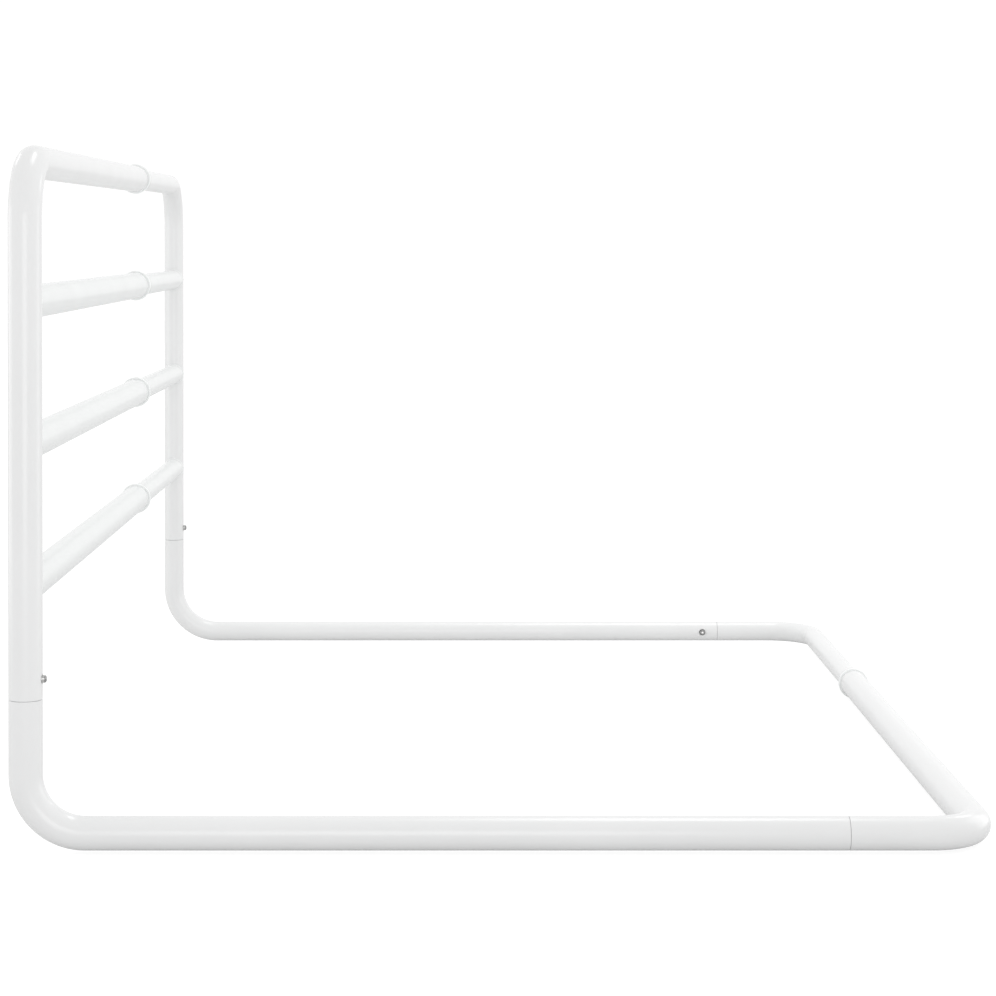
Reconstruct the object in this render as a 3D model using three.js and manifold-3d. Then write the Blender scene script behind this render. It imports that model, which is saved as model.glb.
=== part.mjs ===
// Extendable guard rail for a child's bed: two bent steel tube halves, the slim one sliding in the stout one.
// Each is a guard tube, a base tube and a rear tube, plugged together and locked by snap buttons.
// Millimetres. +X runs from the guard to the rear bar under the mattress, +Y along the bed, +Z up.
import * as THREE from 'three';
import { mergeVertices } from 'three/addons/utils/BufferGeometryUtils.js';
import Module from 'manifold-3d';

const wasm = await Module();
wasm.setup();

// The whole guard, between tube axes
const guardHeight = 523.5;
const lowestRailHeight = 192;
const baseDepth = 745;
const span = 1032;

// Stout near half: its rails are the sleeves
const nearRadius = 13.25;
const nearWall = 1;
const nearPostBend = 46;
const nearElbowBend = 40;
const sleeveReach = 675;

// Slim far half: its rails are the sliders, thinner by the bush and gaps they need in the sleeves
const farWall = 1;
const farPostBend = 50.5;
const farElbowBend = 50.5;
const sliderOverlap = 317;

// Plug-in joints: from a base corner to the seam, from the seam to the button, and the spigot past the seam
const nearJointReach = 104.5;
const nearButtonOffset = 15.7;
const farJointReach = 108;
const farPostButtonOffset = 13.5;
const farBaseButtonOffset = 17.5;
const spigotLength = 58;
const spigotLead = 3;
const neckLength = 8;
const runningGap = 0.3;

// Snap buttons and the V springs behind them
const buttonRadius = 3;
const buttonProud = 3.5;
const buttonDome = 1.9;
const flangeOverhang = 1.2;
const flangeThickness = 1;
const holeGap = 0.75;
const springThickness = 0.6;
const springWidth = 7;
const springTail = 9;
const springStraight = 8;
const springLength = 34;
const springTipFlat = 1.6;
const springTipBend = 2;
const springLegBend = 6;

// Flanged plastic collars in the sleeve mouths
const bushThickness = 0.65;
const collarLip = 2.15;
const collarThickness = 4;
const collarRounding = 1.2;
const collarSleeve = 35;

// Plastic glides on the tails of the sliders
const glideSkirt = 30;
const glideEnd = 3;
const glideShank = 14;
const glideShankWall = 1.6;

// Weld beads where the middle rails meet the posts
const weldLeg = 1.5;

// Facets and cutting allowance
const tubeSides = 20;
const buttonSides = 16;
const bendSteps = 7;
const springSteps = 3;
const roundingSteps = 3;
const overrun = 2;

// What follows from the sizes above
const farRadius = nearRadius - nearWall - bushThickness - 2 * runningGap;
const sliderReach = span - sleeveReach + sliderOverlap;
const collarRadius = nearRadius + collarLip;
const axisHeight = collarRadius;
const overallLength = span + nearRadius + farRadius;
const nearPostY = nearRadius - overallLength / 2;
const farPostY = nearPostY + span;
const railNames = ['upper', 'middle', 'lower'];
const railPitch = (guardHeight - lowestRailHeight) / railNames.length;
const railHeight = (index) => guardHeight - (index + 1) * railPitch;

// Surface finishes
const coatedSteel = new THREE.MeshStandardMaterial({ color: 0xf1f2f1, roughness: 0.32, metalness: 0 });
const coatedSlider = new THREE.MeshStandardMaterial({ color: 0xeff0ef, roughness: 0.34, metalness: 0 });
const collarPlastic = new THREE.MeshStandardMaterial({ color: 0xe6e7e6, roughness: 0.45, metalness: 0 });
const glidePlastic = new THREE.MeshStandardMaterial({ color: 0xd9dad8, roughness: 0.55, metalness: 0 });
const buttonSteel = new THREE.MeshStandardMaterial({ color: 0xb9babc, roughness: 0.22, metalness: 1 });
const springSteel = new THREE.MeshStandardMaterial({ color: 0x8f9193, roughness: 0.35, metalness: 1 });

// Centreline of straight runs joined by round bends, stepped so that a straight run is a single step
class BentPath extends THREE.Curve {
  constructor(corners, bends, stepsPerBend) {
    super();
    this.legs = [];
    let start = corners[0];
    for (let i = 1; i < corners.length - 1; i += 1) {
      const into = corners[i].clone().sub(corners[i - 1]).normalize();
      const away = corners[i + 1].clone().sub(corners[i]).normalize();
      const turn = into.angleTo(away);
      const setback = bends[i - 1] * Math.tan(turn / 2);
      const from = corners[i].clone().addScaledVector(into, -setback);
      this.addStraight(start, from);
      this.addBend(from, into, away, turn, bends[i - 1], stepsPerBend);
      start = corners[i].clone().addScaledVector(away, setback);
    }
    this.addStraight(start, corners[corners.length - 1]);
    this.stepCount = this.legs.reduce((sum, leg) => sum + leg.steps, 0);
  }

  addStraight(from, to) {
    const along = to.clone().sub(from);
    const tangent = along.clone().normalize();
    this.legs.push({
      steps: 1,
      point: (t) => from.clone().addScaledVector(along, t),
      tangent: () => tangent.clone(),
    });
  }

  addBend(from, into, away, turn, radius, steps) {
    const inward = away.clone().addScaledVector(into, -Math.cos(turn)).normalize();
    const centre = from.clone().addScaledVector(inward, radius);
    this.legs.push({
      steps,
      point: (t) => centre.clone()
        .addScaledVector(inward, -radius * Math.cos(turn * t))
        .addScaledVector(into, radius * Math.sin(turn * t)),
      tangent: (t) => into.clone()
        .multiplyScalar(Math.cos(turn * t))
        .addScaledVector(inward, Math.sin(turn * t)),
    });
  }

  locate(u) {
    let step = u * this.stepCount;
    for (const leg of this.legs.slice(0, -1)) {
      if (step <= leg.steps) return [leg, step / leg.steps];
      step -= leg.steps;
    }
    const last = this.legs[this.legs.length - 1];
    return [last, step / last.steps];
  }

  getPoint(u, target = new THREE.Vector3()) {
    const [leg, t] = this.locate(u);
    return target.copy(leg.point(t));
  }

  getPointAt(u, target) {
    return this.getPoint(u, target);
  }

  getTangentAt(u, target = new THREE.Vector3()) {
    const [leg, t] = this.locate(u);
    return target.copy(leg.tangent(t));
  }
}

// Closed solid of a geometry, its coincident vertices joined
function solidOf(geometry) {
  const bare = geometry.clone();
  bare.deleteAttribute('normal');
  bare.deleteAttribute('uv');
  const joined = mergeVertices(bare);
  return new wasm.Manifold(new wasm.Mesh({
    numProp: 3,
    vertProperties: new Float32Array(joined.attributes.position.array),
    triVerts: new Uint32Array(joined.index.array),
  }));
}

// Faceted round outline whose flats, not its corners, lie on the radius
function roundOutline(radius, sides) {
  const halfFacet = Math.PI / sides;
  const corner = radius / Math.cos(halfFacet);
  const outline = new THREE.Shape();
  outline.absarc(0, 0, corner, halfFacet, halfFacet + 2 * Math.PI);
  return outline;
}

// Outline swept along a bent path
function swept(outline, corners, bends, stepsPerBend, curveSegments) {
  const path = new BentPath(corners, bends, stepsPerBend);
  return solidOf(new THREE.ExtrudeGeometry(outline, {
    steps: path.stepCount,
    curveSegments,
    extrudePath: path,
    bevelEnabled: false,
  }));
}

// Solid round bar along a bent path
function bar(radius, corners, bends = []) {
  return swept(roundOutline(radius, tubeSides), corners, bends, bendSteps, tubeSides / 2);
}

// Closed radius and height profile turned about the Y axis, its flats lying on the radii
function turned(profile, sides) {
  const halfFacet = Math.PI / sides;
  const scaled = profile.map(([radius, height]) => new THREE.Vector2(radius / Math.cos(halfFacet), height));
  scaled.push(scaled[0].clone());
  return new THREE.LatheGeometry(scaled, sides, halfFacet);
}

// Quarter round from one profile point towards another, by the shares of its two half axes
function quarterRound(centreRadius, centreHeight, reachRadius, reachHeight) {
  const points = [];
  for (let i = 0; i <= roundingSteps; i += 1) {
    const angle = (Math.PI / 2) * (i / roundingSteps);
    points.push([centreRadius + reachRadius * Math.cos(angle), centreHeight + reachHeight * Math.sin(angle)]);
  }
  return points;
}

// Placement with local +Z along one direction and local +X along another
function placement(origin, along, side) {
  const across = new THREE.Vector3().crossVectors(along, side);
  return new THREE.Matrix4().makeBasis(side, across, along).setPosition(origin);
}

// Named mesh of a finished solid
function piece(name, solid, material) {
  const result = solid.getMesh();
  const geometry = new THREE.BufferGeometry();
  geometry.setAttribute('position', new THREE.BufferAttribute(new Float32Array(result.vertProperties), 3));
  geometry.setIndex(new THREE.BufferAttribute(new Uint32Array(result.triVerts), 1));
  geometry.computeVertexNormals();
  const mesh = new THREE.Mesh(geometry, material);
  mesh.name = name;
  return mesh;
}

// The two halves, each seen from its own base corner with its rails running inward
const nearHalf = {
  name: 'near',
  inward: 1,
  radius: nearRadius,
  wall: nearWall,
  postBend: nearPostBend,
  elbowBend: nearElbowBend,
  jointReach: nearJointReach,
  postButton: nearButtonOffset,
  baseButton: nearButtonOffset,
  reach: sleeveReach,
  railName: 'rail_sleeve',
  material: coatedSteel,
};
const farHalf = {
  name: 'far',
  inward: -1,
  radius: farRadius,
  wall: farWall,
  postBend: farPostBend,
  elbowBend: farElbowBend,
  jointReach: farJointReach,
  postButton: farPostButtonOffset,
  baseButton: farBaseButtonOffset,
  reach: sliderReach,
  railName: 'rail_slider',
  material: coatedSlider,
};

// Plug-in joint: placements of its seam and of its button, spigot along local +Z and button along local +X
function plugJoint(seam, along, side, buttonOffset) {
  return {
    seam: placement(seam, along, side),
    button: placement(seam.clone().addScaledVector(along, buttonOffset), along, side),
  };
}

function postJoint(half) {
  const up = new THREE.Vector3(0, 0, 1);
  const behindGuard = new THREE.Vector3(1, 0, 0);
  return plugJoint(new THREE.Vector3(0, 0, half.jointReach), up, behindGuard, half.postButton);
}

function baseJoint(half) {
  const towardsGuard = new THREE.Vector3(-1, 0, 0);
  const inward = new THREE.Vector3(0, half.inward, 0);
  const seam = new THREE.Vector3(baseDepth - half.jointReach, 0, 0);
  return plugJoint(seam, towardsGuard, inward, half.baseButton);
}

// Solid stub on a joint's axis, from the neck inside its own tube to its end, with a tapered lead
function stub(radius, end, taper, joint) {
  const profile = [
    [0, -neckLength],
    [radius, -neckLength],
    [radius, end - spigotLead],
    [radius - taper, end],
    [0, end],
  ];
  const body = turned(profile, tubeSides);
  body.rotateX(Math.PI / 2);
  return solidOf(body.applyMatrix4(joint.seam));
}

const spigotRadius = (half) => half.radius - half.wall - runningGap;
const spigotBore = (half) => spigotRadius(half) - half.wall;

// Round hole through one wall, on the button's axis
function buttonHole(half, radius, joint) {
  const depth = half.radius + overrun;
  const cutter = new THREE.CylinderGeometry(radius, radius, depth, buttonSides);
  cutter.rotateZ(-Math.PI / 2);
  cutter.translate(depth / 2, 0, 0);
  return solidOf(cutter.applyMatrix4(joint.button));
}

const hostHole = (half, joint) => buttonHole(half, buttonRadius + holeGap, joint);
const spigotHole = (half, joint) => buttonHole(half, buttonRadius + runningGap, joint);

// Tube with its end swaged to a spigot, bored through and pierced for the button
function withSpigot(half, tube, joint) {
  const outside = stub(spigotRadius(half), spigotLength, half.wall / 2, joint);
  const bore = stub(spigotBore(half), spigotLength + overrun, 0, joint);
  return tube.add(outside).subtract(bore).subtract(spigotHole(half, joint));
}

// Post, top bend and top rail in one tube
function guardTube(half) {
  const foot = new THREE.Vector3(0, 0, half.jointReach);
  const corner = new THREE.Vector3(0, 0, guardHeight);
  const mouth = new THREE.Vector3(0, half.inward * half.reach, guardHeight);
  const outside = bar(half.radius, [foot, corner, mouth], [half.postBend]);
  const boreFoot = foot.clone().setZ(half.jointReach - overrun);
  const boreMouth = mouth.clone().setY(half.inward * (half.reach + overrun));
  const bore = bar(half.radius - half.wall, [boreFoot, corner, boreMouth], [half.postBend]);
  const tube = outside.subtract(bore).subtract(hostHole(half, postJoint(half)));
  return piece(`${half.name}_guard_tube`, tube, half.material);
}

// Lower corner: short upright with its spigot, bend and run under the mattress
function baseTube(half) {
  const shoulder = new THREE.Vector3(0, 0, half.jointReach - runningGap);
  const corner = new THREE.Vector3(0, 0, 0);
  const mouth = new THREE.Vector3(baseDepth - half.jointReach, 0, 0);
  const outside = bar(half.radius, [shoulder, corner, mouth], [half.postBend]);
  const neck = shoulder.clone().setZ(half.jointReach - neckLength);
  const boreMouth = mouth.clone().setX(mouth.x + overrun);
  const bore = bar(half.radius - half.wall, [neck, corner, boreMouth], [half.postBend]);
  const tube = withSpigot(half, outside.subtract(bore), postJoint(half));
  return piece(`${half.name}_base_tube`, tube.subtract(hostHole(half, baseJoint(half))), half.material);
}

// Rear elbow and the half of the rear bar that goes with it
function rearTube(half) {
  const seamX = baseDepth - half.jointReach;
  const shoulder = new THREE.Vector3(seamX + runningGap, 0, 0);
  const corner = new THREE.Vector3(baseDepth, 0, 0);
  const mouth = new THREE.Vector3(baseDepth, half.inward * half.reach, 0);
  const outside = bar(half.radius, [shoulder, corner, mouth], [half.elbowBend]);
  const neck = shoulder.clone().setX(seamX + neckLength);
  const boreMouth = mouth.clone().setY(half.inward * (half.reach + overrun));
  const bore = bar(half.radius - half.wall, [neck, corner, boreMouth], [half.elbowBend]);
  const tube = withSpigot(half, outside.subtract(bore), baseJoint(half));
  return piece(`${half.name}_rear_tube`, tube, half.material);
}

// Middle rail, its end coped to the post and ringed by the weld bead
function middleRail(half, index) {
  const height = railHeight(index);
  const root = new THREE.Vector3(0, 0, height);
  const mouth = new THREE.Vector3(0, half.inward * half.reach, height);
  const boreMouth = mouth.clone().setY(half.inward * (half.reach + overrun));
  const beadRadius = half.radius + weldLeg;
  const postHalf = beadRadius + overrun;
  const below = new THREE.Vector3(0, 0, height - postHalf);
  const above = new THREE.Vector3(0, 0, height + postHalf);
  const beadEnd = new THREE.Vector3(0, half.inward * postHalf, height);
  const bead = bar(beadRadius, [root, beadEnd]).intersect(bar(beadRadius, [below, above]));
  const rail = bar(half.radius, [root, mouth])
    .add(bead)
    .subtract(bar(half.radius - half.wall, [root, boreMouth]))
    .subtract(bar(half.radius + runningGap, [below, above]));
  return piece(`${half.railName}_${railNames[index]}`, rail, half.material);
}

// Flanged bush: the lip caps the sleeve's mouth, the thin sleeve inside carries the slider
function collar(name, x, z) {
  const bore = farRadius + runningGap;
  const bushRadius = nearRadius - nearWall - runningGap;
  const lipEnd = runningGap + collarThickness;
  const profile = [
    [bore, -collarSleeve],
    [bushRadius, -collarSleeve],
    [bushRadius, runningGap],
    [collarRadius, runningGap],
    ...quarterRound(collarRadius - collarRounding, lipEnd - collarRounding, collarRounding, collarRounding),
    [bore, lipEnd],
  ];
  const mesh = piece(name, solidOf(turned(profile, tubeSides)), collarPlastic);
  mesh.position.set(x, sleeveReach, z);
  return mesh;
}

// Glide: a skirt round the slider's tail, closed behind it by a ring with a hollow shank inside the tube
function glide(name, x, z) {
  const skirtRadius = nearRadius - nearWall - runningGap;
  const skirtBore = farRadius + runningGap;
  const shankRadius = farRadius - farWall - runningGap;
  const hollow = shankRadius - glideShankWall;
  const ringFront = -runningGap;
  const profile = [
    [skirtRadius, ringFront - glideEnd],
    [skirtRadius, glideSkirt],
    [skirtBore, glideSkirt],
    [skirtBore, ringFront],
    [shankRadius, ringFront],
    [shankRadius, glideShank],
    [hollow, glideShank],
    [hollow, ringFront - glideEnd],
  ];
  const mesh = piece(name, solidOf(turned(profile, tubeSides)), glidePlastic);
  mesh.position.set(x, -sliderReach, z);
  return mesh;
}

// Height of a bore's wall above its axis, at a given distance to the side
const wallHeight = (bore, aside) => Math.sqrt(bore * bore - aside * aside);

// Underside of the button's flange, measured from the tube's axis
function flangeBottom(half) {
  const flangeRadius = buttonRadius + flangeOverhang;
  return wallHeight(spigotBore(half), flangeRadius) - runningGap - flangeThickness;
}

// Domed snap button with the flange that keeps it in the spigot
function snapButton(half, name, joint) {
  const flangeRadius = buttonRadius + flangeOverhang;
  const bottom = flangeBottom(half);
  const top = bottom + flangeThickness;
  const domeFoot = half.radius + buttonProud - buttonDome;
  const profile = [
    [0, bottom],
    [flangeRadius, bottom],
    [flangeRadius, top],
    [buttonRadius, top],
    ...quarterRound(0, domeFoot, buttonRadius, buttonDome).slice(0, -1),
    [0, domeFoot + buttonDome],
  ];
  const body = turned(profile, buttonSides);
  body.rotateZ(-Math.PI / 2);
  const mesh = piece(name, solidOf(body), buttonSteel);
  mesh.applyMatrix4(joint.button);
  return mesh;
}

// V spring: one leg carries the button, the other leans on the opposite wall
function buttonSpring(half, name, joint) {
  const lift = springThickness / 2;
  const pressed = flangeBottom(half) - runningGap - lift;
  const leaning = wallHeight(spigotBore(half), springWidth / 2) - runningGap - lift;
  const tipHalf = springTipBend + springTipFlat / 2;
  const corners = [
    [pressed, -springTail],
    [pressed, springStraight],
    [tipHalf, springLength],
    [-tipHalf, springLength],
    [-leaning, springStraight],
    [-leaning, -springTail],
  ].map(([x, z]) => new THREE.Vector3(x, 0, z));
  const bends = [springLegBend, springTipBend, springTipBend, springLegBend];
  const section = new THREE.Shape([
    new THREE.Vector2(-springWidth / 2, -lift),
    new THREE.Vector2(springWidth / 2, -lift),
    new THREE.Vector2(springWidth / 2, lift),
    new THREE.Vector2(-springWidth / 2, lift),
  ]);
  const mesh = piece(name, swept(section, corners, bends, springSteps, 1), springSteel);
  mesh.applyMatrix4(joint.button);
  return mesh;
}

// Everything that one half is made of, but for its collars or glides
function halfGuard(half) {
  const group = new THREE.Group();
  group.add(guardTube(half), baseTube(half), rearTube(half));
  for (let index = 0; index < railNames.length; index += 1) {
    group.add(middleRail(half, index));
  }
  for (const [place, joint] of [['post', postJoint(half)], ['base', baseJoint(half)]]) {
    group.add(snapButton(half, `${half.name}_${place}_button`, joint));
    group.add(buttonSpring(half, `${half.name}_${place}_spring`, joint));
  }
  return group;
}

// The five places where a slider runs in a sleeve
const slidingPlaces = [
  ['top', 0, guardHeight],
  ...railNames.map((name, index) => [name, 0, railHeight(index)]),
  ['rear', baseDepth, 0],
];

const near = halfGuard(nearHalf);
const far = halfGuard(farHalf);
for (const [place, x, z] of slidingPlaces) {
  near.add(collar(`collar_${place}`, x, z));
  far.add(glide(`glide_${place}`, x, z));
}
near.position.set(-baseDepth / 2, nearPostY, axisHeight);
far.position.set(-baseDepth / 2, farPostY, axisHeight);

const guard = new THREE.Group();
guard.add(near, far);

export default guard;
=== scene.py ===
# %% [markdown]
# # An extendable bed guard, dressed for its portrait
#
# The guard is two bent halves of white tube. The slim half slides inside the stout half, and each half is
# put together from three tubes that plug into each other and lock with a sprung button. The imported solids
# are loaded first and stay where they are. They are faceted, so each tube, rail, bush, glide, button and
# spring is made again here as a smooth surface, worked out from formulas, and takes its solid's place.

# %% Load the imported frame
import bmesh
import bpy
import numpy as np
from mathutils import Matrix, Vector


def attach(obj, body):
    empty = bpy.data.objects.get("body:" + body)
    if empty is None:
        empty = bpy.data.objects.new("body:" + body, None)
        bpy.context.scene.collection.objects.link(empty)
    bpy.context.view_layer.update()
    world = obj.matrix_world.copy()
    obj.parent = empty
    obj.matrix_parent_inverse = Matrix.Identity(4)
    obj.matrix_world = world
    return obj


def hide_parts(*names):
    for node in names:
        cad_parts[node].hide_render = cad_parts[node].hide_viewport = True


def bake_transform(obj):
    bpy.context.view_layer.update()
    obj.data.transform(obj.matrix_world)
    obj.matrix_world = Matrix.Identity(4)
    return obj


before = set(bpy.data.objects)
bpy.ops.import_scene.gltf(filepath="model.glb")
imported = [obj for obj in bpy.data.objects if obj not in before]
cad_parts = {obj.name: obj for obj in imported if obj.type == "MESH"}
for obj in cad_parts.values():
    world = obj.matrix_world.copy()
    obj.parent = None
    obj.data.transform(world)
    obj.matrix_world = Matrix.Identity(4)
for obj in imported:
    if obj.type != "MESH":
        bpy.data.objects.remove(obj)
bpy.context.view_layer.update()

# %% [markdown]
# ## Sizes
#
# All lengths are metres. The two halves differ only in their sizes, so each is one table of named values,
# and every piece below is made twice by the same function. `inward` tells which way a half looks: the near
# half's rails run towards +Y, the far half's towards -Y. `reach` is their length from the post's axis,
# `seam` is how far the two seams lie from the corners of the base next to them, and a button sits beyond
# its seam by the distance given for it.

# %% The two halves
GUARD_X, REAR_X = -0.3725, 0.3725
AXIS_Z, TOP_Z = 0.0154, 0.5389
RAIL_Z = {"upper": 0.4284, "middle": 0.3179, "lower": 0.2074}
WALL, RUNNING_GAP = 0.001, 0.0003
SPIGOT_LENGTH, SPIGOT_LEAD, NECK = 0.058, 0.003, 0.008
HALVES = {
    "near": dict(y=-0.514875, inward=1, radius=0.01325, post_bend=0.046, elbow_bend=0.040, reach=0.675,
                 seam=0.1045, post_button=0.0157, base_button=0.0157, rail="rail_sleeve"),
    "far": dict(y=0.517125, inward=-1, radius=0.0110, post_bend=0.0505, elbow_bend=0.0505, reach=0.674,
                seam=0.108, post_button=0.0135, base_button=0.0175, rail="rail_slider"),
}
print("tube diameters:", [round(2000 * half["radius"], 1) for half in HALVES.values()], "mm")

# %% [markdown]
# ## The camera
#
# The portrait looks almost straight along the bed, past the stout half to the slim one. The verticals stay
# upright in it, so the camera looks nearly level and its frame is shifted down instead of being tilted: the
# line of sight meets the picture a quarter of the way down. Lens, place and shift follow from the vanishing
# point of the rails and the two scales of the posts.

# %% Camera
IMAGE = 996
FOCAL_PIXELS = 2600
LINE_OF_SIGHT = (465.7, 259.1)
PITCH = np.radians(0.54)
CAMERA_PLACE = (-0.0301, -2.5343, 0.4812)
SENSOR_WIDTH, FARTHEST = 36.0, 60.0

camera = bpy.data.objects.new("portrait_camera", bpy.data.cameras.new("portrait_camera"))
bpy.context.scene.collection.objects.link(camera)
bpy.context.scene.camera = camera
camera.location = CAMERA_PLACE
camera.rotation_euler = (np.pi / 2 - PITCH, 0, 0)
optics = camera.data
optics.sensor_width = SENSOR_WIDTH
optics.lens = FOCAL_PIXELS / IMAGE * SENSOR_WIDTH
optics.shift_x = 0.5 - LINE_OF_SIGHT[0] / IMAGE
optics.shift_y = LINE_OF_SIGHT[1] / IMAGE - 0.5
optics.clip_end = FARTHEST
print("lens", round(optics.lens, 1), "mm, shift", round(optics.shift_x, 3), round(optics.shift_y, 3))

# %% [markdown]
# ## Node maths as plain expressions
#
# A finish is a small sum: take a noise, stretch it, add a little to a roughness. Wired by hand that is a
# tangle of Math nodes, so a wrapper round an output socket turns the usual operators into those nodes.
# The finishes here only add and multiply, so those are its operators, and both work with the number on
# either side. Every other node comes from one method of the finish, and the methods below it are short
# names for the nodes that are used most.

# %% Wires
class Wire:
    """An output socket that can be calculated with: each operator adds one Math node."""

    def __init__(self, finish, socket):
        self.finish = finish
        self.socket = socket

    def _math(self, operation, other):
        return self.finish.add("ShaderNodeMath", {"operation": operation}, self, other)

    def __add__(self, other):
        return self._math("ADD", other)

    def __mul__(self, other):
        return self._math("MULTIPLY", other)

    __radd__, __rmul__ = __add__, __mul__


# %% Finishes
MIX_FACTOR, MIX_LOW, MIX_HIGH, MIX_COLOUR = 0, 6, 7, 2


class Finish:
    """A node tree being wired: of a material or of the world."""

    def __init__(self, owner):
        owner.use_nodes = True
        self.owner = owner
        self.tree = owner.node_tree
        self.tree.nodes.clear()

    def add(self, kind, settings, *values, output=0, **named):
        """One node: its settings first, then its sockets by position or name. Returns one output."""
        node = self.tree.nodes.new(kind)
        for key, value in settings.items():
            setattr(node, key, value)
        for key, value in list(enumerate(values)) + [(k.replace("_", " "), v) for k, v in named.items()]:
            if isinstance(value, Wire):
                self.tree.links.new(value.socket, node.inputs[key])
            else:
                node.inputs[key].default_value = value
        return Wire(self, node.outputs[output]) if node.outputs else node

    def mix(self, factor, low, high):
        """A colour between two colours."""
        node = self.tree.nodes.new("ShaderNodeMix")
        node.data_type = "RGBA"
        for index, value in ((MIX_FACTOR, factor), (MIX_LOW, low), (MIX_HIGH, high)):
            if isinstance(value, Wire):
                self.tree.links.new(value.socket, node.inputs[index])
            else:
                node.inputs[index].default_value = value
        return Wire(self, node.outputs[MIX_COLOUR])

    def coordinates(self, kind):
        return self.add("ShaderNodeTexCoord", {}, output=kind)

    def noise(self, place, size, detail, roughness=0.5):
        """Smooth random values from 0 to 1 whose lumps are about `size` units of `place` across."""
        return self.add("ShaderNodeTexNoise", {}, Vector=place, Scale=1 / size, Detail=detail,
                        Roughness=roughness)

    def bump(self, strength, distance, height):
        return self.add("ShaderNodeBump", {}, Strength=strength, Distance=distance, Height=height)

    def shaded(self, **sockets):
        """The shader and the output of a material, which is returned finished."""
        shader = self.add("ShaderNodeBsdfPrincipled", {}, **sockets)
        self.add("ShaderNodeOutputMaterial", {}, shader)
        return self.owner


print("a mix of colours reads sockets", MIX_FACTOR, MIX_LOW, MIX_HIGH, "and gives output", MIX_COLOUR)

# %% [markdown]
# ## Powder coat
#
# Powder is sprayed on dry and melts into a skin about a tenth of a millimetre thick. It is glossy, but it
# never flows quite flat: the surface keeps a fine skin like an orange's, lumps of about two millimetres
# with a finer grain on them, all of it only hundredths of a millimetre high. Those are two noises on the
# object's own coordinates, fed to a Bump node. A third, much larger noise moves the white and the gloss by
# a hair, as the thickness of the powder does.

# %% White powder coat
CLOUD_SIZE, SKIN_SIZE, GRAIN_SIZE = 0.07, 0.0022, 0.0006
SKIN_HEIGHT = 0.00006


def rgba(red, green, blue):
    return (red, green, blue, 1.0)


def powder_coat(name, white, shade, gloss):
    finish = Finish(bpy.data.materials.new(name))
    place = finish.coordinates("Object")
    cloud = finish.noise(place, CLOUD_SIZE, detail=1)
    skin = finish.noise(place, SKIN_SIZE, detail=1)
    grain = finish.noise(place, GRAIN_SIZE, detail=2)
    return finish.shaded(
        Base_Color=finish.mix(cloud, shade, white),
        Roughness=gloss + 0.05 * cloud + 0.03 * grain,
        IOR=1.52,
        Normal=finish.bump(strength=0.35, distance=SKIN_HEIGHT, height=0.8 * skin + 0.2 * grain),
    )


coats = {
    "near": powder_coat("powder_coat_stout", rgba(0.838, 0.840, 0.841), rgba(0.808, 0.811, 0.811), 0.19),
    # The slim half's coat is painted a shade whiter than the stout half's: painted light that makes up for
    # the weaker light reaching the far half.
    "far": powder_coat("powder_coat_slim_painted_lighter", rgba(0.855, 0.858, 0.858), rgba(0.825, 0.829, 0.828), 0.20),
    "rail": powder_coat("powder_coat_rails", rgba(0.839, 0.854, 0.850), rgba(0.809, 0.825, 0.820), 0.20),
}
print("coats:", [coat.name for coat in coats.values()])

# %% [markdown]
# ## Moulded plastic
#
# The bushes in the sleeve mouths are white polypropylene, a shade whiter than the coat beside it. A mould
# leaves a finer and duller grain than the coat has. The glides inside are plain nylon, greyer and coarser.
# Each is given by its pale and its darker colour, its gloss, and the size and the depth of its grain.

# %% Plastics
FLOW_SIZE = 0.02


def moulded(name, pale, dark, gloss, grain, depth):
    finish = Finish(bpy.data.materials.new(name))
    place = finish.coordinates("Object")
    flow = finish.noise(place, FLOW_SIZE, detail=3)
    pits = finish.noise(place, grain, detail=3, roughness=0.6)
    return finish.shaded(
        Base_Color=finish.mix(flow, dark, pale),
        Roughness=gloss + 0.1 * pits,
        IOR=1.49,
        Normal=finish.bump(strength=0.4, distance=depth, height=pits),
    )


bush_plastic = moulded("bush_plastic", rgba(0.93, 0.945, 0.94), rgba(0.90, 0.915, 0.91),
                       gloss=0.30, grain=0.0004, depth=0.00003)
glide_plastic = moulded("glide_nylon", rgba(0.66, 0.66, 0.64), rgba(0.60, 0.60, 0.58),
                        gloss=0.42, grain=0.0008, depth=0.00005)
print("plastics:", [plastic.name for plastic in (bush_plastic, glide_plastic)])

# %% [markdown]
# ## Bright metal
#
# The buttons are turned from rod and nickel plated. The lathe leaves rings round the dome, which a sine of
# the distance from its tip draws. The crown's bright colour is a painted highlight, and the shoulder round it
# is painted dark, a painted shade and dark reflection round the button; the shank beyond is a mid grey. The
# same distance, run through two soft steps, tells them apart.
# The distance is the V of the button's own UV map, because that runs in metres from the tip.

# %% Button steel
# Distances from the tip: up to the first pair the crown is a painted highlight, up to the second pair the
# shoulder is painted shade.
PAINTED_HIGHLIGHT_EDGE, PAINTED_SHADE_EDGE = (0.0009, 0.0016), (0.0036, 0.0042)
RING_WAVES, RING_HEIGHT, STAIN_SIZE = 40000.0, 0.00001, 0.0015


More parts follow.
